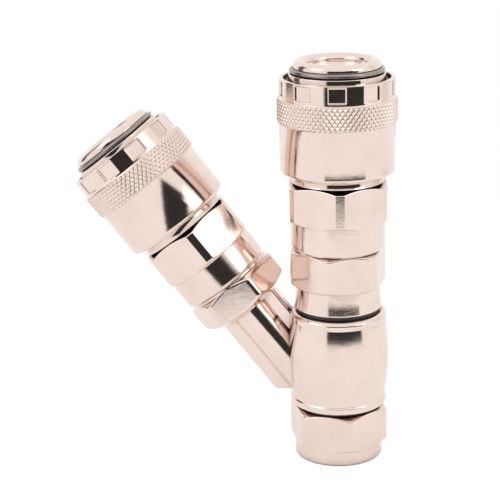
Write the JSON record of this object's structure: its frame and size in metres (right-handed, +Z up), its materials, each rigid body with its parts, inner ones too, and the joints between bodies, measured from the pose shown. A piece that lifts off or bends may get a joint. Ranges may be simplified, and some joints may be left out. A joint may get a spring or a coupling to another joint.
{
  "type": "two-way swivel air line quick coupler",
  "caption": "Two push-pull quick sockets on one swivelling inlet: an upright one and one on a slanted cast arm, each with a knurled sliding sleeve, locking balls and a shut-off valve.",
  "frame": {"origin": "middle of the inlet's bottom face, on the axis of its threaded port", "axes": "+Z up the axis of the inlet and the upright socket; the slanted arm leans towards -X"},
  "size_m": [0.0738, 0.0272, 0.0938],
  "materials": {
    "nickel": "polished nickel plate on brass",
    "spring_steel": "drawn steel wire",
    "ball_steel": "ground and polished",
    "brass": "turned",
    "rubber": "moulded",
    "polymer": "moulded"
  },
  "bodies": {
    "inlet": {"inlet_fitting": "nickel", "lower_thrust_washer": "polymer", "lower_o_ring": "rubber", "upper_o_ring": "rubber", "upper_thrust_washer": "polymer", "adapter": "nickel", "straight_body": "nickel", "straight_nose": "nickel", "straight_snap_ring": "spring_steel", "straight_packing": "rubber", "straight_sleeve_spring": "spring_steel", "straight_valve_spring": "spring_steel"},
    "arm": {"arm_barrel": "nickel", "branch_body": "nickel", "branch_nose": "nickel", "branch_snap_ring": "spring_steel", "branch_packing": "rubber", "branch_sleeve_spring": "spring_steel", "branch_valve_spring": "spring_steel"},
    "straight_sleeve": {"straight_sleeve": "nickel"},
    "straight_valve": {"straight_valve": "brass"},
    "straight_ball_1": {"straight_ball_1": "ball_steel"},
    "straight_ball_2": {"straight_ball_2": "ball_steel"},
    "straight_ball_3": {"straight_ball_3": "ball_steel"},
    "straight_ball_4": {"straight_ball_4": "ball_steel"},
    "branch_sleeve": {"branch_sleeve": "nickel"},
    "branch_valve": {"branch_valve": "brass"},
    "branch_ball_1": {"branch_ball_1": "ball_steel"},
    "branch_ball_2": {"branch_ball_2": "ball_steel"},
    "branch_ball_3": {"branch_ball_3": "ball_steel"},
    "branch_ball_4": {"branch_ball_4": "ball_steel"}
  },
  "joints": [
    {"name": "arm_swivel", "type": "hinge", "parent": "inlet", "child": "arm", "pos_m": [0, 0, 0.0243], "axis": [0, 0, 1], "continuous": true},
    {"name": "straight_sleeve_slide", "type": "slide", "parent": "inlet", "child": "straight_sleeve", "axis": [0, 0, -1], "range_m": [0, 0.002], "stiffness_N_per_m": 1500, "springref_m": -0.004, "deforming": ["straight_sleeve_spring"]},
    {"name": "straight_valve_slide", "type": "slide", "parent": "inlet", "child": "straight_valve", "axis": [0, 0, -1], "range_m": [0, 0.0045], "stiffness_N_per_m": 400, "springref_m": -0.005, "deforming": ["straight_valve_spring"]},
    {"name": "straight_ball_1_slide", "type": "slide", "parent": "inlet", "child": "straight_ball_1", "axis": [1, 0, 0], "range_m": [0, 0.00091]},
    {"name": "straight_ball_2_slide", "type": "slide", "parent": "inlet", "child": "straight_ball_2", "axis": [0, 1, 0], "range_m": [0, 0.00091]},
    {"name": "straight_ball_3_slide", "type": "slide", "parent": "inlet", "child": "straight_ball_3", "axis": [-1, 0, 0], "range_m": [0, 0.00091]},
    {"name": "straight_ball_4_slide", "type": "slide", "parent": "inlet", "child": "straight_ball_4", "axis": [0, -1, 0], "range_m": [0, 0.00091]},
    {"name": "branch_sleeve_slide", "type": "slide", "parent": "arm", "child": "branch_sleeve", "axis": [0.6157, 0, -0.788], "range_m": [0, 0.002], "stiffness_N_per_m": 1500, "springref_m": -0.004, "deforming": ["branch_sleeve_spring"]},
    {"name": "branch_valve_slide", "type": "slide", "parent": "arm", "child": "branch_valve", "axis": [0.6157, 0, -0.788], "range_m": [0, 0.0045], "stiffness_N_per_m": 400, "springref_m": -0.005, "deforming": ["branch_valve_spring"]},
    {"name": "branch_ball_1_slide", "type": "slide", "parent": "arm", "child": "branch_ball_1", "axis": [0.788, 0, 0.6157], "range_m": [0, 0.00091]},
    {"name": "branch_ball_2_slide", "type": "slide", "parent": "arm", "child": "branch_ball_2", "axis": [0, 1, 0], "range_m": [0, 0.00091]},
    {"name": "branch_ball_3_slide", "type": "slide", "parent": "arm", "child": "branch_ball_3", "axis": [-0.788, 0, -0.6157], "range_m": [0, 0.00091]},
    {"name": "branch_ball_4_slide", "type": "slide", "parent": "arm", "child": "branch_ball_4", "axis": [0, -1, 0], "range_m": [0, 0.00091]}
  ],
  "couplings": [
    {"joint": "straight_ball_1_slide", "follows": "straight_sleeve_slide", "ratio": 0.45},
    {"joint": "straight_ball_2_slide", "follows": "straight_sleeve_slide", "ratio": 0.45},
    {"joint": "straight_ball_3_slide", "follows": "straight_sleeve_slide", "ratio": 0.45},
    {"joint": "straight_ball_4_slide", "follows": "straight_sleeve_slide", "ratio": 0.45},
    {"joint": "branch_ball_1_slide", "follows": "branch_sleeve_slide", "ratio": 0.45},
    {"joint": "branch_ball_2_slide", "follows": "branch_sleeve_slide", "ratio": 0.45},
    {"joint": "branch_ball_3_slide", "follows": "branch_sleeve_slide", "ratio": 0.45},
    {"joint": "branch_ball_4_slide", "follows": "branch_sleeve_slide", "ratio": 0.45}
  ]
}
